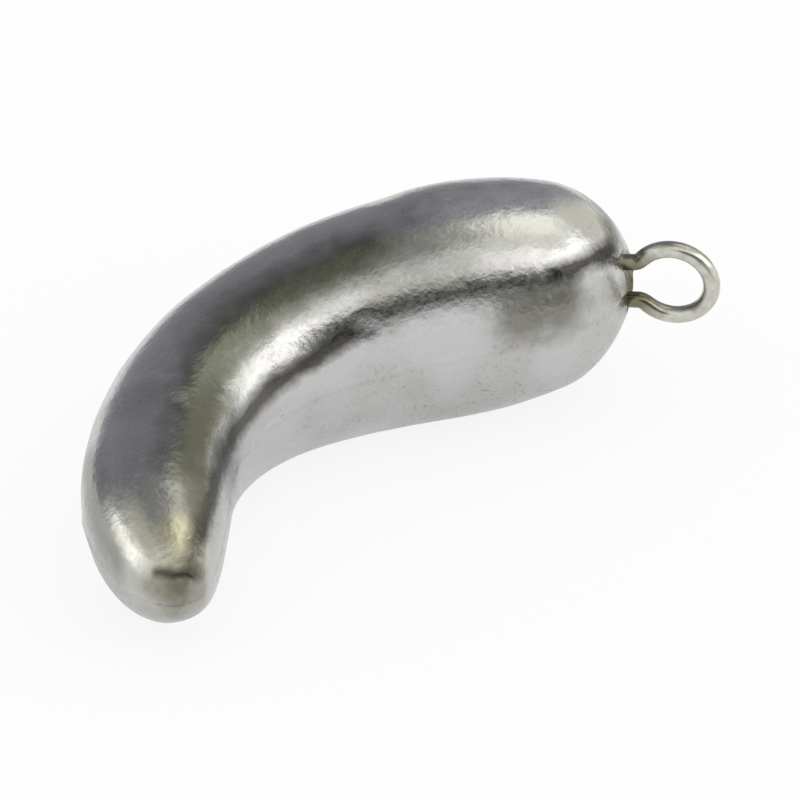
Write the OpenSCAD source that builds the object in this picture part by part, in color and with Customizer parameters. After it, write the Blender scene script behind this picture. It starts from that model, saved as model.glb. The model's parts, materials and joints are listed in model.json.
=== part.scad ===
// Banana lead: a crescent of cast lead with a bent wire eye cast into its thick end.
// It lies on its side on a table at z = 0, with the tip at -x, the eye at +x and the hollow
// side at -y. The lead is swept along a centre curve that runs from the tip to the eye.

/* [Lead body] */
// Length of the lead along its centre curve
curve_len = 45.3; // [38:0.1:54]
// Greatest width of the lead, in the plane of the bend
body_w = 11.6; // [9.6:0.1:13.8]
// Greatest thickness of the lead, square to the bend
body_h = 12.8; // [10.6:0.1:15.2]
// Angle that the centre curve turns through, from tip to eye
bend = 121; // [80:1:140]
// Length over which the thin tip rounds off
tip_round = 10.5; // [8:0.1:13]
// Length over which the thick end rounds off
crown_round = 4.1; // [3.2:0.1:5.2]
// Squareness of the section: 2 is an oval, more is boxier
section_power = 2.4; // [2:0.1:3.5]
// Depth that the soft lead is worn flat under the two places that it lies on
rest_wear = 0.04; // [0.02:0.01:0.08]

/* [Mould seam] */
// Height of the seam that the two mould halves leave round the lead
seam_h = 0.1; // [0.05:0.01:0.2]
// Width of the seam at its foot
seam_w = 0.5; // [0.3:0.05:0.8]

/* [Shrink pit] */
// Width of the pit that the lead leaves round the wire as it cools
pit_w = 2.4; // [1.8:0.1:3]
// Depth of the pit below the end of the lead
pit_depth = 0.7; // [0.5:0.05:0.9]

/* [Wire eye] */
// Diameter of the wire
wire_d = 1; // [0.8:0.05:1.2]
// Clear diameter inside the ring
eye_inner = 3.4; // [2.8:0.1:4]
// Distance between the middles of the two legs
leg_gap = 2.5; // [2:0.1:2.8]
// Radius, at the wire's middle, of the neck between the ring and a leg
neck_r = 0.7; // [0.65:0.05:1]
// Straight wire that shows between the necks and the end of the lead
neck_show = 0.1; // [0.05:0.05:0.8]
// Width of the flat that the bending pin presses inside the ring
land_w = 0.3; // [0.2:0.05:0.4]
// Depth of the hooks below the end of the lead
anchor_depth = 7; // [6:0.1:9]
// Radius, at the wire's middle, of the hooks
hook_r = 1.1; // [0.9:0.05:1.3]
// Straight length beyond each hook
hook_tail = 1.2; // [0.8:0.1:1.6]

/* [Hidden] */

// Smoothness of the true curves, and of the swept lead
$fn = 64;
rings = 64;
side_points = 22;

// Share of the mean bend at five even places, from tip to eye
bend_shares = [0.43, 1.17, 1.42, 0.59, 1.21];
// Share of the greatest width at seven even places, from tip to eye
width_shares = [0.64, 0.69, 0.73, 0.83, 0.95, 0.98, 0.71];
// The two places along the curve where the underside meets the table
foot_shares = [0.2, 0.69];
// Largest share of the local width or thickness that the seam may take
seam_share = 0.1;
// Share of its thickness that the wire loses where the tight necks stretch it
draw_share = 0.04;
// Angle by which each neck runs on inside the ring
neck_lap = 3;

wire_r = wire_d / 2;
ring_r = eye_inner / 2 + sqrt(pow(wire_r, 2) - pow(land_w / 2, 2));
leg_y = leg_gap / 2;
leg_r = wire_r * (1 - draw_share);

// Where the neck bends leave the ring, as an angle from the ring's axis
neck_angle = asin((leg_y + neck_r) / (ring_r + neck_r));
neck_x = (ring_r + neck_r) * cos(neck_angle);
// Distance from the end of the lead to the middle of the ring
eye_reach = neck_x + neck_show;
leg_len = neck_show + anchor_depth - hook_r;

// Value at place t, from 0 to 1, on a smooth curve through a table's values
function blend(table, t) =
    let (
        last = len(table) - 1,
        i = min(floor(t * last), last - 1),
        u = t * last - i,
        a = table[i],
        b = table[i + 1],
        before = i > 0 ? table[i - 1] : 2 * a - b,
        after = i + 2 <= last ? table[i + 2] : 2 * b - a,
        m0 = (b - before) / 2,
        m1 = (after - a) / 2
    )
    a + u * (m0 + u * (3 * (b - a) - 2 * m0 - m1 + u * (2 * (a - b) + m0 + m1)));

// Share of the length at ring i: the rings crowd towards both ends
function place(i) = (1 - cos(180 * i / rings)) / 2;

// Share that an elliptical end leaves of the width, at a distance from that end
function end_share(distance, round_len) =
    distance < round_len ? sqrt(max(0, 1 - pow(1 - distance / round_len, 2))) : 1;

function width_share(t) =
    blend(width_shares, t)
    * end_share(t * curve_len, tip_round)
    * end_share((1 - t) * curve_len, crown_round);

// A flat point turned about the origin
function turned(p, a) = [p[0] * cos(a) - p[1] * sin(a), p[0] * sin(a) + p[1] * cos(a)];

// The list of sums of a list's first 0, 1, 2 and more entries
function running(list, start) =
    [for (i = 0, sum = start; i <= len(list); sum = i < len(list) ? sum + list[i] : sum, i = i + 1) sum];

// Turn to the right between neighbouring rings, which comes to the whole bend along the curve
turn_shares = [for (i = [0:rings - 1])
    let (t0 = place(i), t1 = place(i + 1)) blend(bend_shares, (t0 + t1) / 2) * (t1 - t0)];
turn_total = running(turn_shares, 0)[rings];
turns = -bend * turn_shares / turn_total;

// The centre curve before it is squared up: a heading and a point at each ring
raw_headings = running(turns, 0);
raw_steps = [for (i = [0:rings - 1])
    turned([curve_len * (place(i + 1) - place(i)), 0], (raw_headings[i] + raw_headings[i + 1]) / 2)];
raw_centres = running(raw_steps, [0, 0]);

// The centre curve, with its two ends in line with the x axis
square_up = -atan2(raw_centres[rings][1], raw_centres[rings][0]);
headings = [for (a = raw_headings) a + square_up];
centres = [for (p = raw_centres) turned(p, square_up)];

// Angles round the upper side of a section, clear of the seam at each flank
function side_angle(j, foot) = foot + (180 - 2 * foot) * j / side_points;

// One point of a section, as [across, up], on a rounded oval of half sizes w and h
function oval_point(w, h, a) =
    let (r = pow(pow(abs(cos(a)), section_power) + pow(abs(sin(a)), section_power), -1 / section_power))
    [w * r * cos(a), h * r * sin(a)];

// One whole section: the seam's crest on each flank and an arc of points above and below
function section(w, h) =
    let (foot = asin(min(2 * seam_share, seam_w / 2 / h)), crest = w + min(seam_h, seam_share * w))
    [
        [crest, 0],
        for (j = [0:side_points]) oval_point(w, h, side_angle(j, foot)),
        [-crest, 0],
        for (j = [0:side_points]) oval_point(w, h, 180 + side_angle(j, foot))
    ];

// A section set square to the centre curve at ring i
function ring_points(i) =
    let (
        share = width_share(place(i)),
        a = headings[i],
        c = centres[i]
    )
    [for (p = section(body_w / 2 * share, body_h / 2 * share))
        [c[0] - p[0] * sin(a), c[1] + p[0] * cos(a), p[1]]];

body_points = [
    [centres[0][0], centres[0][1], 0],
    for (i = [1:rings - 1]) each ring_points(i),
    [centres[rings][0], centres[rings][1], 0]
];
ring_count = 2 * side_points + 4;
tail_point = len(body_points) - 1;

// Number of point j on ring i, counted round the ring
function point_at(i, j) = 1 + (i - 1) * ring_count + j % ring_count;

body_faces = [
    for (j = [0:ring_count - 1]) [0, point_at(1, j), point_at(1, j + 1)],
    for (i = [1:rings - 2], j = [0:ring_count - 1])
        each [
            [point_at(i, j), point_at(i + 1, j), point_at(i + 1, j + 1)],
            [point_at(i, j), point_at(i + 1, j + 1), point_at(i, j + 1)]
        ],
    for (j = [0:ring_count - 1])
        [tail_point, point_at(rings - 1, j + 1), point_at(rings - 1, j)]
];

// Lean about y when the lead lies level on two places of its underside
function foot_point(t) =
    let (i = round(acos(1 - 2 * t) / 180 * rings))
    [centres[i][0], -body_h / 2 * width_share(place(i))];
feet = [for (t = foot_shares) foot_point(t)];
lean = atan2(feet[1][1] - feet[0][1], feet[1][0] - feet[0][0]);

// A point turned by the lean, as rotate() turns the solids
function leaned(p) =
    [p[0] * cos(lean) + p[2] * sin(lean), p[1], -p[0] * sin(lean) + p[2] * cos(lean)];

// The ring's middle and its bore axis, before and after the lean
eye_heading = headings[rings];
eye_middle = [
    centres[rings][0] + eye_reach * cos(eye_heading),
    centres[rings][1] + eye_reach * sin(eye_heading),
    0
];
bore_axis = leaned([-sin(eye_heading), cos(eye_heading), 0]);

// How far a ring round the bore axis reaches from its middle, along each axis of the table
ring_reach = [for (k = [0:2]) ring_r * sqrt(1 - pow(bore_axis[k], 2)) + wire_r];

// The box of the whole sinker, which is set down over the origin
laid_points = [for (p = body_points) leaned(p)];
laid_eye = leaned(eye_middle);
low = [for (k = [0:2]) min(laid_eye[k] - ring_reach[k], min([for (p = laid_points) p[k]]))];
high = [for (k = [0:2]) max(laid_eye[k] + ring_reach[k], max([for (p = laid_points) p[k]]))];
set_down = [-(low[0] + high[0]) / 2, -(low[1] + high[1]) / 2, -low[2] - rest_wear];

module set_on_table() {
    translate(set_down)
        rotate([0, lean, 0])
            children();
}

// The eye's own frame: x out of the lead, y square to the bend, z along the ring's bore
module at_eye() {
    translate(eye_middle)
        rotate([90, 0, eye_heading])
            children();
}

// Wire of radius r, bent through part of a circle, from one angle to another
module bent_wire(radius, from, to, r) {
    rotate([0, 0, from])
        rotate_extrude(angle = to - from)
            translate([radius, 0])
                circle(r = r);
}

module straight_wire(length) {
    rotate([0, 90, 0])
        cylinder(r = leg_r, h = length);
}

// Neck, leg and hook on one side of the ring
module leg() {
    translate([-neck_x, leg_y + neck_r])
        bent_wire(neck_r, -90, neck_lap - neck_angle, leg_r);
    translate([-neck_x - leg_len, leg_y])
        straight_wire(leg_len);
    translate([-neck_x - leg_len, leg_y + hook_r]) {
        bent_wire(hook_r, 180, 270, leg_r);
        translate([-hook_r, 0])
            rotate([0, 0, 90])
                straight_wire(hook_tail);
    }
}

module both_legs() {
    leg();
    mirror([0, 1, 0])
        leg();
}

// Ring and legs in one wire, with the bending pin's flat pressed round the inside of the ring
module bent_eye() {
    difference() {
        union() {
            bent_wire(ring_r, neck_angle - 180, 180 - neck_angle, wire_r);
            both_legs();
        }
        cylinder(d = eye_inner, h = wire_d, center = true);
    }
}

// Three round hollows in a row, across the two legs at the end of the lead
module shrink_pit() {
    for (side = [-1:1])
        translate([pit_w / 2 - eye_reach - pit_depth, side * leg_y])
            sphere(d = pit_w);
}

// What lies below the top of the table, as far as the lead can reach
module table() {
    translate([-curve_len, -curve_len, -curve_len])
        cube([2 * curve_len, 2 * curve_len, curve_len]);
}

module lead_body() {
    color("silver")
        difference() {
            set_on_table()
                difference() {
                    polyhedron(body_points, body_faces, convexity = 4);
                    at_eye() {
                        shrink_pit();
                        both_legs();
                    }
                }
            table();
        }
}

module wire_eye() {
    color("lightgray")
        set_on_table()
            at_eye()
                bent_eye();
}

lead_body();
wire_eye();
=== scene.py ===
import json
import math
import random

import bpy
import numpy as np
from mathutils import Matrix, Quaternion, Vector


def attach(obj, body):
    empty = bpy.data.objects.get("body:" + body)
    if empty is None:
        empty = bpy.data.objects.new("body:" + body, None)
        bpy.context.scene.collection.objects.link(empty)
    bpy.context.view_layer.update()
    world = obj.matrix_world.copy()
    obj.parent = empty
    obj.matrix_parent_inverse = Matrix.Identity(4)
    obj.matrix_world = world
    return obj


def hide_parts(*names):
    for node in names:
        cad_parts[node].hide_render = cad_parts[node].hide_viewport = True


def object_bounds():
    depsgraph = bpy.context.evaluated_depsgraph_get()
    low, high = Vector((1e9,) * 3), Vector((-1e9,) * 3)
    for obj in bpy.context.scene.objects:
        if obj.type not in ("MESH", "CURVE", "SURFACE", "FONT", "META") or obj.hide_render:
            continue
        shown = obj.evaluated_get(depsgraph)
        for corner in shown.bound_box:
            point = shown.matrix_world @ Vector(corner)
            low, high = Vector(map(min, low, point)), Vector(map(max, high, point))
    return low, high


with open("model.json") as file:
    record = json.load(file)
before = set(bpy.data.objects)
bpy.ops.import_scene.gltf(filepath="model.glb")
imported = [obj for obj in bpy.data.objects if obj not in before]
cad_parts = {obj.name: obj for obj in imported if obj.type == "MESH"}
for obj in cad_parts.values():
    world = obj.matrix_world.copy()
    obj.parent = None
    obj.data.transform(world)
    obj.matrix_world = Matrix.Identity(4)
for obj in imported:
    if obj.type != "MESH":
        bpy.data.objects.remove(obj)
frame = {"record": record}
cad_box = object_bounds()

# A banana lead: a crescent of cast lead with a bent wire eye, on a white table in soft light

MM = 0.001
ORIGIN = (0, 0, 0)

# The lead, with the values of the part's own source. Rows of shares run from the tip to the crown.
CURVE_LEN = 45.3 * MM
BODY_W = 11.6 * MM
BODY_H = 12.8 * MM
BEND = math.radians(121)
TIP_ROUND = 10.5 * MM
CROWN_ROUND = 4.1 * MM
SECTION_POWER = 2.4
BEND_SHARES = [0.43, 1.17, 1.42, 0.59, 1.21]
WIDTH_SHARES = [0.64, 0.69, 0.73, 0.83, 0.95, 0.98, 0.71]
FOOT_SHARES = [0.2, 0.69]
SEAM_W = 0.5 * MM
SEAM_H = 0.1 * MM
PIT_W = 2.4 * MM
PIT_DEPTH = 0.7 * MM

# The wire, with the values of the part's own source
WIRE_R = 0.5 * MM
LEG_R = 0.48 * MM
EYE_INNER = 3.4 * MM
LEG_GAP = 2.5 * MM
LEG_Y = LEG_GAP / 2
NECK_R = 0.7 * MM
NECK_SHOW = 0.1 * MM
LAND_W = 0.3 * MM
ANCHOR_DEPTH = 7 * MM
HOOK_R = 1.1 * MM
HOOK_TAIL = 1.2 * MM

# How finely the lead is drawn out: rings along it, points round it, and halvings of each face
RINGS = 48
SIDES = 30
LEAD_LEVELS = 3

# How finely the pit's tool and the wire are made, and how many steps each bend of the wire takes
PIT_SIDES = 48
PIT_LEVELS = 1
WIRE_SIDES = 12
WIRE_LEVELS = 2
HOOK_STEPS = 8
NECK_STEPS = 6
RING_STEPS = 40

# How close two places are to count as one: where vertices are picked, and where doubles are merged
NEAR = WIRE_R / 10
DOUBLE = WIRE_R / 100

# What the mould left: breaks in the seam, and a lower half that stands back at the seam and runs out
SEAM_BREAK = 1.6 * MM
STEP_DEPTH = 0.035 * MM
STEP_RUN = 0.16 * MM
STEP_FADE = 2.5 * MM

# The short nose: its edge's place along the lead, depth, reach towards the tip, width and crookedness
NOSE_PLACE = 0.021
NOSE_DEPTH = 0.06 * MM
NOSE_FADE = 1.1 * MM
NOSE_HALF_W = 1.8 * MM
NOSE_STEEPNESS = 2
NOSE_SLANT = 0.26
NOSE_CROOK = 0.08 * MM
NOSE_CROOK_LEN = 0.3 * MM

# Dents, and blisters below zero: place along the lead, angle round it, radius, share of the depth
DENT_DEPTH = 0.25 * MM
DENT_POWER = 2
DENTS = [
    (0.86, 196, 1.6 * MM, 0.5),
    (0.62, 150, 1.1 * MM, 0.3),
    (0.5, 210, 1.3 * MM, 0.25),
    (0.3, 100, 1.4 * MM, -0.25),
    (0.72, 60, 1.8 * MM, 0.3),
    (0.4, 20, 2.2 * MM, 0.3),
]

# Pinholes: how many, how deep, and between what they vary
PINHOLES = 70
PINHOLE_SEED = 7
PINHOLE_DEPTH = 0.05 * MM
PINHOLE_POWER = 1.2
PINHOLE_PLACES = (0.04, 0.96)
PINHOLE_RADII = (0.1 * MM, 0.26 * MM)
PINHOLE_STRETCHES = (0.6, 1.6)
PINHOLE_SHARES = (0.25, 1)

# The slow waves and the crust that the mould's wall left on the lead: size and depth
WAVE_W = 3.4 * MM
WAVE_DEPTH = 0.07 * MM
CRUST_W = 0.42 * MM
CRUST_DEPTH = 0.018 * MM

# The pit's ragged edge: size and depth, and the share of the noise that leaves it in place
RAG_W = 0.7 * MM
RAG_DEPTH = 0.45 * MM
RAG_LEVEL = 0.45

# The weakest weight that is worth painting
FAINTEST = 0.002

# The lead's finish. Its real grain is under 0.1 mm, too fine to show, so GRAIN_W and FINE_W draw it
# as coarse as it needs to show. A span gives the values of a noise between which its effect comes or
# goes, and a relief is how strongly a depth shows.
GRAIN_W = 0.3 * MM
GRAIN_DEPTH = 0.028 * MM
GRAIN_RELIEF = (0.3, 0.55)
GRAIN_RELIEF_SPAN = (0.35, 0.65)
FINE_W = 0.16 * MM
FINE_DEPTH = 0.012 * MM
FINE_RELIEF = 0.4
BLOT_W = 1.2 * MM
BLOT_DEPTH = 0.05 * MM
BLOT_RELIEF = 0.45
PATCH_W = 5 * MM
DULL_SPAN = (0.42, 0.62)
SPECK_SPAN = (0.32, 0.42)
SPECK_STRENGTH = 0.6
SPECKED_SPAN = (0.46, 0.6)
ROUGH_SPAN = (0.3, 0.7)
ROUGH_LEAD = (0.3, 0.19)
NOSE_ROUGH = 0.5
NOSE_ROUGH_REACH = (1.0 * MM, 2.4 * MM)

# Patches and streaks of painted light and shade, and the darker marks round the legs, fade from this share
# of their reach outwards, and the blots fray their edges by up to this share of it
MARK_CORE = 0.25
MARK_RAGGED = 0.9
# Patches of lighter or darker colour, mostly painted highlights, painted shade and painted dark reflections:
# place along the lead, angle round it, reach, strength, colour
COLOUR_PATCHES = [
    # Darker patches over the tip's outer flank and end
    (0.06, 10, 6.0 * MM, 0.35, "#B2B1A8"),
    (0.12, -15, 4.5 * MM, 0.3, "#8E8D86"),
    (0.012, 60, 3.4 * MM, 0.5, "#A8A79B"),
    # Painted highlight on top of the tip above the nose's step, then painted shade below the step
    (0.045, 105, 2.2 * MM, 0.9, "#E6E2C4"),
    (0.009, 80, 2.2 * MM, 0.85, "#7C7966"),
    # Painted shade on the inner flank near the tip, where it mirrors the shaded table in the hollow
    (0.25, 168, 2.5 * MM, 0.7, "#6C6A6E"),
    # Painted dark reflections low on the flank near the crown
    (0.86, 164, 2.4 * MM, 0.85, "#7E7D74"),
    (0.91, 164, 2.4 * MM, 0.85, "#7E7D74"),
]
# Darker marks round the wire's legs, in and over the pit: way out of the crown, way up it, reach, strength,
# colour
CROWN_DARKENING = [
    (NECK_SHOW, 0, 3.6 * MM, 0.6, "#8A8976"),
    (0, 0, 1.8 * MM, 0.8, "#66634C"),
    (0, LEG_Y, 1.5 * MM, 0.95, "#3C3928"),
    (0, -LEG_Y, 1.5 * MM, 0.95, "#55513A"),
]
# Streaks of painted highlight, painted shadow and painted dark reflection, lighter or darker than the metal:
# name, reach, strength, colour, and the places and angles they run by
PAINTED_STREAKS = [
    # Painted highlight: a lighter colour over the crown
    ("painted_crown_highlight", 3.3 * MM, 0.95, "#F4F4F2", ((0.80, 104), (0.87, 104), (0.97, 90))),
    # Painted dark reflection across the bend
    ("painted_dark_band", 1.8 * MM, 0.6, "#96968C", ((0.67, 138), (0.77, 137))),
    # Painted highlight on the top of the tip
    ("painted_tip_highlight", 1.5 * MM, 0.85, "#E2E2D8", ((0.12, 52), (0.05, 62))),
    # Painted darker reflection along the tip's outer upper flank
    ("tip_rim", 1.7 * MM, 0.8, "#8C8B86", ((0.09, 28), (0.15, 34), (0.22, 38))),
    # Painted shadow along the edge of the nose's step
    ("nose_edge", 0.45 * MM, 0.85, "#4A473C", ((0.03, 55), (0.02, 85), (0.02, 118))),
    # Painted olive reflection along the upper inner flank of the bend
    ("olive_ridge", 2.4 * MM, 0.88, "#76796A",
     ((0.17, 120), (0.25, 124), (0.40, 113), (0.50, 110), (0.65, 108))),
    # Painted dark reflection: the dark line along the inner flank, from the bend to the tip
    ("flank_line", 0.95 * MM, 0.88, "#484640",
     ((0.60, 151), (0.53, 155), (0.44, 157), (0.34, 159), (0.25, 157), (0.17, 148), (0.10, 140),
      (0.05, 129), (0.02, 118))),
    # Painted dark reflection: the dark line's run on to the crown
    ("crown_line", 0.95 * MM, 0.95, "#34322C", ((0.91, 143), (0.955, 136), (0.985, 108))),
    # Painted dark reflection round the crown's outer end
    ("crown_rim", 1.3 * MM, 0.8, "#605F56", ((0.955, 52), (0.97, 66), (0.985, 85))),
    # Painted darker reflection along the inner flank near the tip
    ("tip_band", 1.7 * MM, 0.6, "#86877A", ((0.31, 131), (0.20, 130), (0.11, 126))),
]

# The wire's finish: the mottle of its tin, and the tarnish that fades away from the crown
MOTTLE_W = 0.5 * MM
MOTTLE_DEPTH = 0.02 * MM
MOTTLE_RELIEF = 0.3
MOTTLE_SPAN = (0.4, 0.6)
TARNISH_REACH = (1.4 * MM, 2.8 * MM)
TARNISH_STRENGTH = 0.85
ROUGH_WIRE = 0.24

# The camera: angles in degrees, and the sensor in millimetres, as Blender keeps it
SENSOR = 36
AZIMUTH = -45.8
ELEVATION = 31.4
ROLL = 3.2
DISTANCE = 471 * MM
VIEW_WIDTH = 43.45 * MM
AIM_RIGHT = 3.25 * MM
AIM_UP = -1.28 * MM
NEAREST = 10 * MM
FARTHEST = 10000 * MM

# The table: how white it shows beside the lead to the camera and in mirrors, and over what distances
# from the middle it turns plain white
TABLE_R = 600 * MM
TABLE_SIDES = 96
TABLE_SEEN = 0.85
TABLE_SEEN_SPAN = (25 * MM, 120 * MM)
TABLE_MIRRORED = 0.5
TABLE_MIRRORED_SPAN = (20 * MM, 45 * MM)

# The white room's strength as light on the table
ROOM_LIGHT = 0.9

# Lamps: name, azimuth, elevation, distance, width, height, roll, radiance, colour, in degrees and metres
SOFTBOXES = [
    ("key_box", 138, 46, 0.40, 0.30, 0.18, 0, 0.4, "#FFFCF2"),
    ("side_box", 107, 26, 0.40, 0.44, 0.22, -10, 1.0, "#FFFEF8"),
    ("left_box", -88, 14, 0.40, 0.16, 0.22, 0, 0.95, "#FFFEF8"),
    ("top_box", 55, 64, 0.30, 0.16, 0.12, 0, 0.35, "#FFFCF2"),
]

# The width of a card's soft edge, as a share of its distance
CARD_FADE = 0.26
# Glowing grey cards, seen only in the metal's mirrors: name, azimuth, elevation, distance, width, height,
# roll, grey at the foot, grey at the head
CARDS = [
    ("far_card", -17, 30, 0.35, 0.80, 0.50, 0, "#A8A8AE", "#6A6A72"),
    ("right_card", 50, 18, 0.36, 0.25, 0.36, 0, "#C2C0B8", "#C4C2B8"),
    ("ceiling_card", -40, 79, 0.38, 0.26, 0.34, 0, "#7C7C7E", "#A6A69C"),
    ("top_card", 70, 65, 0.40, 0.44, 0.28, 0, "#DCDCD2", "#D2D2CA"),
    ("upper_left_card", -98, 58, 0.36, 0.26, 0.20, 0, "#BCBCB2", "#B4B4AA"),
    ("near_card", 160, 22.5, 0.34, 0.36, 0.155, -7, "#161618", "#1C1C1E"),
    ("low_card", 124, 10, 0.0365, 0.025, 0.013, 0, "#B0B0A8", "#94948E"),
]


# The centre curve, in the plane of the bend, with the tip at the origin

def smooth_value(table, t):
    """Value at place t, from 0 to 1, on a smooth curve through a table's values"""
    last = len(table) - 1
    i = min(int(t * last), last - 1)
    u = t * last - i
    a, b = table[i], table[i + 1]
    before = table[i - 1] if i > 0 else 2 * a - b
    after = table[i + 2] if i + 2 <= last else 2 * b - a
    m0, m1 = (b - before) / 2, (after - a) / 2
    return a + u * (m0 + u * (3 * (b - a) - 2 * m0 - m1 + u * (2 * (a - b) + m0 + m1)))


def end_share(distance, round_len):
    """Share that a rounded end leaves of the width, at a distance from that end"""
    return math.sqrt(max(0, 1 - (1 - distance / round_len) ** 2)) if distance < round_len else 1


def width_share(t):
    """Share of the full width that the lead has at place t"""
    ends = end_share(t * CURVE_LEN, TIP_ROUND) * end_share((1 - t) * CURVE_LEN, CROWN_ROUND)
    return smooth_value(WIDTH_SHARES, t) * ends


def section_share(across, up):
    """How far the squarish oval reaches in a direction, as a share of a plain oval's reach"""
    return (abs(across) ** SECTION_POWER + abs(up) ** SECTION_POWER) ** (-1 / SECTION_POWER)


def place(i):
    """Share of the length at ring i: the rings crowd towards both ends"""
    return (1 - math.cos(math.pi * i / RINGS)) / 2


def ring_at(t):
    """The ring nearest to place t"""
    return round(math.acos(1 - 2 * t) / math.pi * RINGS)


def heading_vector(a):
    return Vector((math.cos(a), math.sin(a), 0))


def centre_curve():
    """A heading and a point at each ring, with the two ends in line with the x axis"""
    shares = []
    for i in range(RINGS):
        t0, t1 = place(i), place(i + 1)
        shares.append(smooth_value(BEND_SHARES, (t0 + t1) / 2) * (t1 - t0))
    headings, centres = [0.0], [Vector(ORIGIN)]
    for i, share in enumerate(shares):
        headings.append(headings[-1] - BEND * share / sum(shares))
        step = CURVE_LEN * (place(i + 1) - place(i))
        centres.append(centres[-1] + step * heading_vector((headings[-2] + headings[-1]) / 2))
    square_up = -math.atan2(centres[-1].y, centres[-1].x)
    turn_up = Matrix.Rotation(square_up, 3, "Z")
    return [a + square_up for a in headings], [turn_up @ c for c in centres]


HEADINGS, CENTRES = centre_curve()


def lean_angle():
    """Lean about y when the lead lies level on two places of its underside"""
    feet = [(CENTRES[ring_at(t)].x, -BODY_H / 2 * width_share(t)) for t in FOOT_SHARES]
    return math.atan2(feet[1][1] - feet[0][1], feet[1][0] - feet[0][0])


# The ring is bent round its bore, and each neck meets its leg and the ring without a kink
RING_R = EYE_INNER / 2 + math.sqrt(WIRE_R ** 2 - (LAND_W / 2) ** 2)
NECK_ANGLE = math.asin((LEG_Y + NECK_R) / (RING_R + NECK_R))
NECK_X = (RING_R + NECK_R) * math.cos(NECK_ANGLE)
EYE_REACH = NECK_X + NECK_SHOW
OUT = heading_vector(HEADINGS[-1])
CROWN = CENTRES[-1]

# From the plane of the bend to the table: the lean, and the move that brings the eye to its mount
EYE_MOUNT = next(m for m in frame["record"]["mounts"] if m["name"] == "eye")
LEAN = Matrix.Rotation(lean_angle(), 4, "Y")
TO_TABLE = Matrix.Translation(Vector(EYE_MOUNT["pos_m"]) - LEAN @ (CROWN + EYE_REACH * OUT)) @ LEAN

# From the eye's own frame, with x out of the lead and z along the ring's bore, to the plane of the bend
AT_EYE = (Matrix.Translation(CROWN + EYE_REACH * OUT) @ Matrix.Rotation(HEADINGS[-1], 4, "Z")
          @ Matrix.Rotation(math.pi / 2, 4, "X"))


def on_lead(t, angle):
    """Place on the lead's skin, in the plane of the bend: 90 degrees is up, 0 the outer flank"""
    i = ring_at(t)
    a = math.radians(angle)
    reach = section_share(math.cos(a), math.sin(a)) * width_share(place(i))
    across = Vector((-math.sin(HEADINGS[i]), math.cos(HEADINGS[i]), 0))
    up = Vector((0, 0, BODY_H / 2 * reach * math.sin(a)))
    return CENTRES[i] + across * (BODY_W / 2 * reach * math.cos(a)) + up


# Modelling steps

def only(piece):
    """Selects one object and makes it the active one"""
    bpy.ops.object.select_all(action="DESELECT")
    piece.select_set(True)
    bpy.context.view_layer.objects.active = piece


def edit(piece):
    """Opens a piece for editing"""
    only(piece)
    bpy.ops.object.mode_set(mode="EDIT")


def leave(name):
    """Ends the edit and names the piece"""
    bpy.ops.object.mode_set(mode="OBJECT")
    piece = bpy.context.object
    piece.name = piece.data.name = name
    return piece


def finish_with(piece, kind, **settings):
    """Adds one modifier, sets it up and applies it"""
    only(piece)
    bpy.ops.object.modifier_add(type=kind)
    modifier = piece.modifiers[-1]
    for key, value in settings.items():
        setattr(modifier, key, value)
    bpy.ops.object.modifier_apply(modifier=modifier.name)


def pick(piece, wanted):
    """Selects, in edit mode, the vertices whose places are wanted, and what lies between them"""
    bpy.ops.object.mode_set(mode="OBJECT")
    picked = [wanted(vertex.co) for vertex in piece.data.vertices]
    piece.data.vertices.foreach_set("select", picked)
    for edge in piece.data.edges:
        edge.select = all(picked[k] for k in edge.vertices)
    for face in piece.data.polygons:
        face.select = all(picked[k] for k in face.vertices)
    bpy.ops.object.mode_set(mode="EDIT")


def turn(angle, about=ORIGIN):
    """Turns what is selected about an upright line. With no window the operator turns the other way."""
    bpy.ops.transform.rotate(value=-angle, orient_axis="Z", center_override=about)


def grow(share, about=ORIGIN):
    """Makes what is selected larger or smaller, the same on every side"""
    bpy.ops.transform.resize(value=(share, share, share), center_override=about)


def draw_on(step):
    """Draws the selected open ring of edges out by one step"""
    bpy.ops.mesh.extrude_edges_move(TRANSFORM_OT_translate={"value": step})


def bend_on(angle, centre, steps):
    """Draws the selected open ring of edges on round a centre, in the plane of the eye"""
    bpy.ops.mesh.spin(steps=steps, angle=angle, center=centre, axis=(0, 0, 1))


def set_in(piece, frame_of_piece):
    """Takes a piece out of the frame that it was made in, and keeps its new place in its mesh"""
    only(piece)
    piece.matrix_world = frame_of_piece
    bpy.ops.object.transform_apply()


def places(piece):
    """The places of a piece's vertices, a row for each"""
    co = np.empty(len(piece.data.vertices) * 3)
    piece.data.vertices.foreach_get("co", co)
    return co.reshape(-1, 3)


def clouds(name, size, octaves):
    """A cloudy texture with clouds of about this size"""
    texture = bpy.data.textures.new(name, "CLOUDS")
    texture.noise_scale = size
    texture.noise_depth = octaves
    return texture


def press(piece, name, depth, weights, texture=None):
    """Presses places in by a depth times their weights, or raises them if the depth is negative"""
    group = piece.vertex_groups.new(name=name)
    for k in np.nonzero(weights > FAINTEST)[0]:
        group.add([int(k)], float(weights[k]), "REPLACE")
    finish_with(piece, "DISPLACE", vertex_group=name, texture=texture, texture_coords="LOCAL",
                strength=-depth, mid_level=0, direction="NORMAL")


def roughen(piece, texture, depth, level=1):
    """Moves the surface by up to a depth: out where the texture is above the level, in below it"""
    finish_with(piece, "DISPLACE", texture=texture, texture_coords="LOCAL",
                strength=depth, mid_level=level, direction="NORMAL")


# The lead

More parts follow.
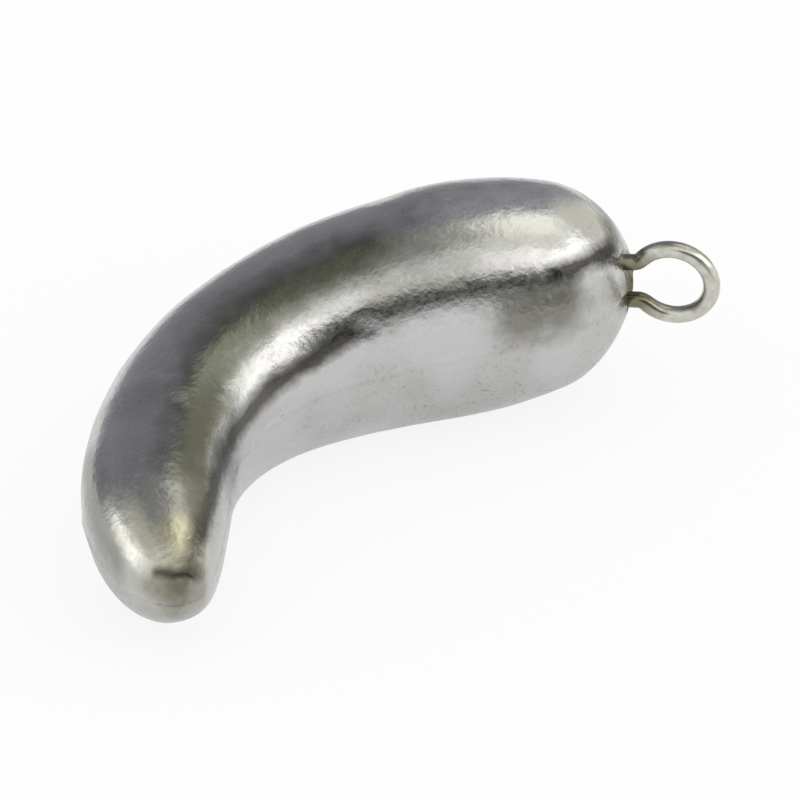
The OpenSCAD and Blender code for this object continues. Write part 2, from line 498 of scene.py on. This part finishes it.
def lead_cage():
    """Draws the lead out ring by ring along the bend, from the tip to the crown"""
    bpy.ops.object.select_all(action="DESELECT")
    bpy.ops.mesh.primitive_circle_add(
        vertices=SIDES, radius=BODY_W / 2, fill_type="TRIFAN", rotation=(0, math.pi / 2, 0))
    bpy.ops.object.transform_apply()
    cage = bpy.context.object
    corners = [v.co.copy() for v in cage.data.vertices if v.co.length > NEAR]
    edit(cage)
    # The oval is drawn proud by what the smoothing takes off it again
    smoothing = (2 + math.cos(2 * math.pi / SIDES)) / 3
    for corner in corners:
        pick(cage, lambda co: (co - corner).length < NEAR)
        grow(section_share(corner.y / corner.length, corner.z / corner.length) / smoothing)
    bpy.ops.mesh.select_all(action="SELECT")
    bpy.ops.transform.resize(value=(1, 1, BODY_H / BODY_W), center_override=ORIGIN)
    grow(width_share(place(1)))
    turn(HEADINGS[1])
    bpy.ops.transform.translate(value=CENTRES[1])
    # The middle of the first ring's fan goes back to the end of the tip, which closes it
    pick(cage, lambda co: (co - CENTRES[1]).length < NEAR)
    bpy.ops.transform.translate(value=CENTRES[0] - CENTRES[1])
    bpy.ops.mesh.select_all(action="SELECT")
    bpy.ops.mesh.region_to_loop()
    for i in range(2, RINGS):
        draw_on(CENTRES[i] - CENTRES[i - 1])
        turn(HEADINGS[i] - HEADINGS[i - 1], CENTRES[i])
        grow(width_share(place(i)) / width_share(place(i - 1)), CENTRES[i])
    draw_on(CENTRES[RINGS] - CENTRES[RINGS - 1])
    bpy.ops.mesh.merge(type="COLLAPSE")
    bpy.ops.mesh.select_all(action="SELECT")
    bpy.ops.mesh.normals_make_consistent(inside=False)
    return leave("cast_lead_body")


def spot(co, middle, radius, power):
    """Weights that fall off smoothly from 1 at a middle to 0 at a radius"""
    d = np.linalg.norm(co - middle, axis=1) / radius
    return np.clip(1 - d * d, 0, 1) ** power


def seam_weights(flat):
    """How near each place is to the seam round the plane of the bend"""
    return np.clip(1 - np.abs(flat[:, 2]) / (SEAM_W / 2), 0, 1)


def lower_half_weights(flat):
    """The lower half of the mould sat a little off the upper one, which left a step at the seam"""
    below = np.clip(-flat[:, 2] / STEP_RUN, 0, 1)
    return below * np.clip(1 + flat[:, 2] / STEP_FADE, 0, 1) ** 2


def nose_weights(flat):
    """The lead didn't fill the end of the tip: it falls short past a line across its top"""
    heading = HEADINGS[ring_at(NOSE_PLACE)]
    from_edge = flat - np.array(on_lead(NOSE_PLACE, 90))
    along = from_edge @ np.array(heading_vector(heading))
    across = from_edge @ np.array(heading_vector(heading + math.pi / 2))
    crooked = along - NOSE_SLANT * across + NOSE_CROOK * np.sin(across / NOSE_CROOK_LEN)
    short = np.clip(-crooked / STEP_RUN, 0, 1) * np.clip(1 + along / NOSE_FADE, 0, 1)
    inside = np.clip(NOSE_STEEPNESS * (1 - (across / NOSE_HALF_W) ** 2), 0, 1)
    return short * inside * (flat[:, 2] > 0)


def dent_weights(flat):
    """Marks that the mould and handling left: dents above zero, blisters below it"""
    weights = np.zeros(len(flat))
    for t, angle, radius, share in DENTS:
        weights += spot(flat, np.array(on_lead(t, angle)), radius, DENT_POWER) * share
    return weights


def pinhole_weights(flat):
    """Pinholes where gas left the hot lead, each drawn out in a way of its own"""
    rng = random.Random(PINHOLE_SEED)
    weights = np.zeros(len(flat))
    for _ in range(PINHOLES):
        middle = np.array(on_lead(rng.uniform(*PINHOLE_PLACES), rng.uniform(0, 360)))
        radius = rng.uniform(*PINHOLE_RADII)
        stretch = np.array([rng.uniform(*PINHOLE_STRETCHES) for _ in range(3)])
        hole = spot(middle + (flat - middle) * stretch, middle, radius, PINHOLE_POWER)
        weights = np.maximum(weights, hole * rng.uniform(*PINHOLE_SHARES))
    return weights


def pit_tool():
    """A ragged body in the shape of the hollow that shrinks in round the two legs at the crown"""
    bpy.ops.object.select_all(action="DESELECT")
    bpy.ops.mesh.primitive_uv_sphere_add(segments=PIT_SIDES, ring_count=PIT_SIDES // 2, radius=PIT_W / 2)
    tool = bpy.context.object
    edit(tool)
    for side in (-1, 1):
        pick(tool, lambda co: co.y * side > NEAR)
        bpy.ops.transform.translate(value=(0, side * LEG_Y, 0))
    leave("pit_tool")
    finish_with(tool, "SUBSURF", levels=PIT_LEVELS, render_levels=PIT_LEVELS)
    roughen(tool, clouds("ragged_pit", RAG_W, octaves=2), RAG_DEPTH, RAG_LEVEL)
    set_in(tool, AT_EYE @ Matrix.Translation((PIT_W / 2 - EYE_REACH - PIT_DEPTH, 0, 0)))
    return tool


def away_from(co, stations):
    """How far each place is from a line through the stations"""
    nearest = np.full(len(co), np.inf)
    for start, end in zip(stations, stations[1:]):
        run = np.array(end - start)
        offset = co - np.array(start)
        share = np.clip(offset @ run / (run @ run), 0, 1)
        nearest = np.minimum(nearest, np.linalg.norm(offset - np.outer(share, run), axis=1))
    return nearest


def store_painted_streaks(piece):
    """Stores on the lead how far each place is from each streak of painted light and shade"""
    co = places(piece)
    for name, *_, stations in PAINTED_STREAKS:
        points = [TO_TABLE @ on_lead(t, angle) for t, angle in stations]
        attribute = piece.data.attributes.new(name, "FLOAT", "POINT")
        attribute.data.foreach_set("value", away_from(co, points))


def lead_body():
    """One pour of lead, with what the mould, the gas and the cooling left on it"""
    piece = lead_cage()
    finish_with(piece, "SUBSURF", levels=LEAD_LEVELS, render_levels=LEAD_LEVELS)
    flat = places(piece)
    press(piece, "mould_seam", -SEAM_H, seam_weights(flat), clouds("seam_breaks", SEAM_BREAK, octaves=2))
    press(piece, "mould_step", STEP_DEPTH, lower_half_weights(flat))
    press(piece, "short_nose", NOSE_DEPTH, nose_weights(flat))
    dents = dent_weights(flat)
    press(piece, "dents", DENT_DEPTH, np.clip(dents, 0, 1))
    press(piece, "blisters", -DENT_DEPTH, np.clip(-dents, 0, 1))
    press(piece, "pinholes", PINHOLE_DEPTH, pinhole_weights(flat))
    roughen(piece, clouds("slow_waves", WAVE_W, octaves=1), WAVE_DEPTH)
    roughen(piece, clouds("mould_crust", CRUST_W, octaves=1), CRUST_DEPTH)
    tool = pit_tool()
    finish_with(piece, "BOOLEAN", object=tool, operation="DIFFERENCE", solver="EXACT")
    bpy.data.objects.remove(tool)
    set_in(piece, TO_TABLE)
    # The soft lead is worn flat where it lies on the table
    pick(piece, lambda co: co.z < 0)
    bpy.ops.transform.resize(value=(1, 1, 0), center_override=ORIGIN)
    leave("cast_lead_body")
    store_painted_streaks(piece)
    bpy.ops.object.shade_smooth()
    return piece


# The wire

def wire_eye():
    """One length of wire, bent as on a bench: hook, leg, neck, ring, neck, leg and hook"""
    foot_x = -NECK_X - NECK_SHOW - ANCHOR_DEPTH + HOOK_R
    neck_turn = math.pi / 2 - NECK_ANGLE
    ring_turn = 2 * (math.pi - NECK_ANGLE)
    ring_x, ring_y = -RING_R * math.cos(NECK_ANGLE), RING_R * math.sin(NECK_ANGLE)
    bpy.ops.object.select_all(action="DESELECT")
    bpy.ops.mesh.primitive_circle_add(
        vertices=WIRE_SIDES, radius=LEG_R, fill_type="NGON", rotation=(math.pi / 2, 0, 0),
        location=(foot_x - HOOK_R, -LEG_Y - HOOK_R - HOOK_TAIL, 0))
    bpy.ops.object.transform_apply()
    edit(bpy.context.object)
    bpy.ops.mesh.select_all(action="SELECT")
    bpy.ops.mesh.region_to_loop()
    draw_on((0, HOOK_TAIL, 0))
    bend_on(math.pi / 2, (foot_x, -LEG_Y - HOOK_R, 0), HOOK_STEPS)
    draw_on((-NECK_X - foot_x, 0, 0))
    bend_on(neck_turn, (-NECK_X, -LEG_Y - NECK_R, 0), NECK_STEPS)
    grow(WIRE_R / LEG_R, (ring_x, -ring_y, 0))
    bend_on(-ring_turn, ORIGIN, RING_STEPS)
    grow(LEG_R / WIRE_R, (ring_x, ring_y, 0))
    bend_on(neck_turn, (-NECK_X, LEG_Y + NECK_R, 0), NECK_STEPS)
    draw_on((foot_x + NECK_X, 0, 0))
    bend_on(math.pi / 2, (foot_x, LEG_Y + HOOK_R, 0), HOOK_STEPS)
    draw_on((0, HOOK_TAIL, 0))
    bpy.ops.mesh.edge_face_add()
    bpy.ops.mesh.select_all(action="SELECT")
    bpy.ops.mesh.remove_doubles(threshold=DOUBLE)
    bpy.ops.mesh.normals_make_consistent(inside=False)
    piece = leave("bent_wire_eye")
    finish_with(piece, "SUBSURF", levels=WIRE_LEVELS, render_levels=WIRE_LEVELS)
    set_in(piece, AT_EYE)
    set_in(piece, TO_TABLE)
    bpy.ops.object.shade_smooth()
    return piece


# Finishes

def linear(hex_colour):
    """The linear value of an sRGB hex colour"""
    parts = [int(hex_colour[k:k + 2], 16) / 255 for k in (1, 3, 5)]
    return [p / 12.92 if p <= 0.04045 else ((p + 0.055) / 1.055) ** 2.4 for p in parts] + [1]


def fresh(collection, name):
    """A new material or world that has no nodes yet"""
    made = collection.new(name)
    made.use_nodes = True
    made.node_tree.nodes.clear()
    return made


def node(owner, kind, inputs=(), **settings):
    """Adds one node, sets it up, and links or fills its inputs: by name, or in their order"""
    made = owner.node_tree.nodes.new(kind)
    for key, value in settings.items():
        setattr(made, key, value)
    filled = inputs.items() if isinstance(inputs, dict) else enumerate(inputs)
    for key, value in filled:
        if isinstance(value, bpy.types.Node):
            value = value.outputs[0]
        if isinstance(value, bpy.types.NodeSocket):
            owner.node_tree.links.new(value, made.inputs[key])
        else:
            made.inputs[key].default_value = value
    return made


def per(size):
    """Scale of a pattern whose marks are this far apart"""
    return 1 / size


def mark_middles():
    """The middle on the table of each patch of painted light and shade and of each darker mark round the
    legs, with its reach, strength and colour
    """
    mark_places = [(on_lead(t, angle), *look) for t, angle, *look in COLOUR_PATCHES]
    mark_places += [(CROWN + OUT * out + Vector((0, 0, up)), *look) for out, up, *look in CROWN_DARKENING]
    return [(TO_TABLE @ middle, *look) for middle, *look in mark_places]


def cast_lead():
    """Bare lead as it left the mould: bright metal with soft, broken reflections. It is fine grained, duller
    and specked in patches, and dark round the wire. Its colour also carries painted highlights, painted
    shade and painted dark reflections."""
    m = fresh(bpy.data.materials, "cast_lead")
    at = node(m, "ShaderNodeTexCoord").outputs["Object"]
    grain, fine, patches, blots = [
        node(m, "ShaderNodeTexNoise", {"Vector": at, "Scale": per(size), "Detail": detail})
        for size, detail in ((GRAIN_W, 3), (FINE_W, 2), (PATCH_W, 4), (BLOT_W, 4))]

    # The metal's own tone, with patches where it has gone dull and is specked
    dull = node(m, "ShaderNodeMapRange", (patches, *DULL_SPAN, 0, 1))
    colour = node(m, "ShaderNodeMix", {0: dull, 6: linear("#C8C7C7"), 7: linear("#BAB9B8")},
                  data_type="RGBA").outputs[2]
    specks = node(m, "ShaderNodeMapRange", (grain, *SPECK_SPAN, SPECK_STRENGTH, 0))
    specked = node(m, "ShaderNodeMapRange", (patches, *SPECKED_SPAN, 0, 1))
    specks = node(m, "ShaderNodeMath", (specks, specked), operation="MULTIPLY")
    colour = node(m, "ShaderNodeMix", {0: specks, 6: colour, 7: linear("#9A9892")},
                  data_type="RGBA").outputs[2]

    # Painted light and shade, and the darker marks round the legs: patches round their middles and then
    # streaks along their lines, all with frayed edges
    marks = [(node(m, "ShaderNodeVectorMath", (at, middle), operation="DISTANCE").outputs["Value"], *look)
             for middle, *look in mark_middles()]
    marks += [(node(m, "ShaderNodeAttribute", attribute_name=name).outputs["Fac"], *look)
              for name, *look, _ in PAINTED_STREAKS]
    for away, reach, strength, tone in marks:
        ragged = node(m, "ShaderNodeMath", (blots, reach * MARK_RAGGED, away), operation="MULTIPLY_ADD")
        middling = reach * MARK_RAGGED / 2
        share = node(m, "ShaderNodeMapRange",
                     (ragged, middling + reach * MARK_CORE, middling + reach, strength, 0))
        colour = node(m, "ShaderNodeMix", {0: share, 6: colour, 7: linear(tone)},
                      data_type="RGBA").outputs[2]

    # The nose is rougher than the rest, because the lead that didn't fill it froze in the air
    rough = node(m, "ShaderNodeMapRange", (grain, *ROUGH_SPAN, *ROUGH_LEAD))
    nose = node(m, "ShaderNodeVectorMath", (at, TO_TABLE @ on_lead(0, 90)), operation="DISTANCE")
    rough = node(m, "ShaderNodeMapRange", (nose.outputs["Value"], *NOSE_ROUGH_REACH, NOSE_ROUGH, rough))

    # The grain stands out most where the metal is dull, and lies under the blots and the fine grain
    relief = node(m, "ShaderNodeMapRange", (patches, *GRAIN_RELIEF_SPAN, *GRAIN_RELIEF))
    bump = node(m, "ShaderNodeBump", {"Height": grain, "Strength": relief, "Distance": GRAIN_DEPTH})
    for height, strength, depth in ((blots, BLOT_RELIEF, BLOT_DEPTH), (fine, FINE_RELIEF, FINE_DEPTH)):
        bump = node(m, "ShaderNodeBump",
                    {"Height": height, "Strength": strength, "Distance": depth, "Normal": bump})
    lead = node(m, "ShaderNodeBsdfPrincipled",
                {"Base Color": colour, "Metallic": 1, "Roughness": rough, "Normal": bump})
    node(m, "ShaderNodeOutputMaterial", {"Surface": lead})
    return m


def tinned_wire():
    """Drawn steel wire with a thin coat of tin: smooth and faintly yellow, with a soft mottle, and
    tarnished where it stands in the lead"""
    m = fresh(bpy.data.materials, "tinned_wire")
    at = node(m, "ShaderNodeTexCoord").outputs["Object"]
    mottle = node(m, "ShaderNodeTexNoise", {"Vector": at, "Scale": per(MOTTLE_W), "Detail": 3})
    share = node(m, "ShaderNodeMapRange", (mottle, *MOTTLE_SPAN, 0, 1))
    colour = node(m, "ShaderNodeMix", {0: share, 6: linear("#CFCEC6"), 7: linear("#BEBDB2")},
                  data_type="RGBA").outputs[2]
    away = node(m, "ShaderNodeVectorMath", (at, TO_TABLE @ CROWN), operation="DISTANCE").outputs["Value"]
    tarnish = node(m, "ShaderNodeMapRange", (away, *TARNISH_REACH, TARNISH_STRENGTH, 0))
    colour = node(m, "ShaderNodeMix", {0: tarnish, 6: colour, 7: linear("#6B664A")},
                  data_type="RGBA").outputs[2]
    bump = node(m, "ShaderNodeBump", {"Height": mottle, "Strength": MOTTLE_RELIEF, "Distance": MOTTLE_DEPTH})
    wire = node(m, "ShaderNodeBsdfPrincipled",
                {"Base Color": colour, "Metallic": 1, "Roughness": ROUGH_WIRE, "Normal": bump})
    node(m, "ShaderNodeOutputMaterial", {"Surface": wire})
    return m


# The stage

def white_table():
    """A plain white table top. Past the lead's own shadow it shows as plain white."""
    m = fresh(bpy.data.materials, "white_table")
    at = node(m, "ShaderNodeTexCoord").outputs["Object"]
    away = node(m, "ShaderNodeVectorMath", (at,), operation="LENGTH").outputs["Value"]
    rays = node(m, "ShaderNodeLightPath").outputs
    seen = node(m, "ShaderNodeMath", (rays["Is Camera Ray"], rays["Is Transmission Ray"]),
                operation="MAXIMUM")
    lift = node(m, "ShaderNodeMapRange", (away, *TABLE_SEEN_SPAN, TABLE_SEEN, 1))
    seen = node(m, "ShaderNodeMath", (seen, lift), operation="MULTIPLY")
    lift = node(m, "ShaderNodeMapRange", (away, *TABLE_MIRRORED_SPAN, TABLE_MIRRORED, 1))
    mirrored = node(m, "ShaderNodeMath", (rays["Is Glossy Ray"], lift), operation="MULTIPLY")
    share = node(m, "ShaderNodeMath", (seen, mirrored), operation="MAXIMUM")
    paint = node(m, "ShaderNodeBsdfDiffuse", {"Color": linear("#F2F2F2")})
    white = node(m, "ShaderNodeEmission", {"Color": linear("#FFFFFF"), "Strength": 1})
    table = node(m, "ShaderNodeMixShader", (share, paint, white))
    node(m, "ShaderNodeOutputMaterial", {"Surface": table})
    return m


def grey_card(name, greys, heights, sides, fade):
    """The face of a grey card, which glows with its own grey rather than being lit: from one grey at its
    foot to another at its head, with soft edges
    """
    m = fresh(bpy.data.materials, name)
    at = node(m, "ShaderNodeTexCoord").outputs
    z = node(m, "ShaderNodeSeparateXYZ", (at["Object"],)).outputs["Z"]
    share = node(m, "ShaderNodeMapRange", (z, *heights, 0, 1))
    grey = node(m, "ShaderNodeMix", {0: share, 6: linear(greys[0]), 7: linear(greys[1])},
                data_type="RGBA").outputs[2]
    inside = []
    for value, side in zip(node(m, "ShaderNodeSeparateXYZ", (at["UV"],)).outputs, sides):
        off = node(m, "ShaderNodeMath", (value, 0.5), operation="SUBTRACT")
        off = node(m, "ShaderNodeMath", (off,), operation="ABSOLUTE")
        inside.append(node(m, "ShaderNodeMapRange", (off, 0.5 - fade / side, 0.5, 1, 0)))
    share = node(m, "ShaderNodeMath", inside, operation="MULTIPLY")
    clear = node(m, "ShaderNodeBsdfTransparent")
    face = node(m, "ShaderNodeEmission", {"Color": grey, "Strength": 1})
    soft_edged = node(m, "ShaderNodeMixShader", (share, clear, face))
    node(m, "ShaderNodeOutputMaterial", {"Surface": soft_edged})
    return m


def camera_frame():
    """The camera's directions over the table: away from it, to its right, and its line of sight"""
    a, e = math.radians(AZIMUTH), math.radians(ELEVATION)
    away, right = Vector((-math.sin(a), math.cos(a), 0)), Vector((math.cos(a), math.sin(a), 0))
    return away, right, away * math.cos(e) - Vector((0, 0, math.sin(e)))


def facing_lead(azimuth, elevation, distance, roll):
    """The frame of a panel that looks back at the lead. Azimuth 0 is away from the camera, 90 is
    to its right."""
    away, right, _ = camera_frame()
    a, e = math.radians(azimuth), math.radians(elevation)
    flat = away * math.cos(a) + right * math.sin(a)
    way = flat * math.cos(e) + Vector((0, 0, math.sin(e)))
    turned = way.to_track_quat("Z", "Y") @ Quaternion((0, 0, 1), math.radians(roll))
    return Matrix.Translation(way * distance) @ turned.to_matrix().to_4x4()


def softbox(name, azimuth, elevation, distance, wide, high, roll, radiance, colour):
    """A lit panel in front of the white room, whose light adds to the room's. Its power is what
    gives its face the radiance."""
    light = bpy.data.lights.new(name, "AREA")
    light.shape = "RECTANGLE"
    light.size, light.size_y = wide, high
    light.energy = radiance * math.pi * wide * high
    light.color = linear(colour)[:3]
    panel = bpy.data.objects.new(name, light)
    panel.matrix_world = facing_lead(azimuth, elevation, distance, roll)
    bpy.context.scene.collection.objects.link(panel)


def card(name, azimuth, elevation, distance, wide, high, roll, low, top):
    """A glowing grey card that the metal mirrors and nothing else sees"""
    bpy.ops.object.select_all(action="DESELECT")
    bpy.ops.mesh.primitive_plane_add(size=1)
    panel = bpy.context.object
    panel.name = name
    fade = distance * CARD_FADE
    sides = wide + fade, high + fade
    set_in(panel, facing_lead(azimuth, elevation, distance, roll) @ Matrix.Diagonal((*sides, 1, 1)))
    heights = [v.co.z for v in panel.data.vertices]
    panel.data.materials.append(grey_card(name, (low, top), (min(heights), max(heights)), sides, fade))
    panel.visible_camera = False
    panel.visible_shadow = False
    panel.visible_diffuse = False


def white_room():
    """The world: plain white where it is seen or mirrored, and a little less as light on the table"""
    world = fresh(bpy.data.worlds, "white_room")
    rays = node(world, "ShaderNodeLightPath").outputs
    seen = node(world, "ShaderNodeMath", (rays["Is Camera Ray"], rays["Is Glossy Ray"]),
                operation="MAXIMUM")
    seen = node(world, "ShaderNodeMath", (seen, rays["Is Transmission Ray"]), operation="MAXIMUM")
    light = node(world, "ShaderNodeBackground", {"Color": linear("#FFFFFF"), "Strength": ROOM_LIGHT})
    white = node(world, "ShaderNodeBackground", {"Color": linear("#FFFFFF"), "Strength": 1})
    room = node(world, "ShaderNodeMixShader", (seen, light, white))
    node(world, "ShaderNodeOutputWorld", {"Surface": room})
    return world


def stage():
    bpy.ops.object.select_all(action="DESELECT")
    bpy.ops.mesh.primitive_circle_add(vertices=TABLE_SIDES, radius=TABLE_R, fill_type="NGON")
    table = bpy.context.object
    table.name = "table_top"
    table.data.materials.append(white_table())
    for values in SOFTBOXES:
        softbox(*values)
    for values in CARDS:
        card(*values)
    bpy.context.scene.world = white_room()


def camera():
    """Looks at the lead as the photograph's camera does, from the same height and side"""
    _, right, sight = camera_frame()
    low, high = cad_box
    middle = Vector((0, 0, (low[2] + high[2]) / 2))
    aim = middle + right * AIM_RIGHT + right.cross(sight) * AIM_UP
    lens = bpy.data.cameras.new("camera")
    lens.sensor_width = SENSOR
    lens.lens = DISTANCE * SENSOR / VIEW_WIDTH
    lens.clip_start, lens.clip_end = NEAREST, FARTHEST
    viewer = bpy.data.objects.new("camera", lens)
    viewer.location = aim - sight * DISTANCE
    viewer.rotation_mode = "QUATERNION"
    roll = Quaternion((0, 0, 1), -math.radians(ROLL))
    viewer.rotation_quaternion = sight.to_track_quat("-Z", "Y") @ roll
    bpy.context.scene.collection.objects.link(viewer)
    bpy.context.scene.camera = viewer


lead = lead_body()
lead.data.materials.append(cast_lead())
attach(lead, "root")
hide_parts("lead_body")

wire = wire_eye()
wire.data.materials.append(tinned_wire())
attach(wire, "root")
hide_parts("wire_eye")

stage()
camera()
bpy.context.scene.view_settings.view_transform = "Standard"
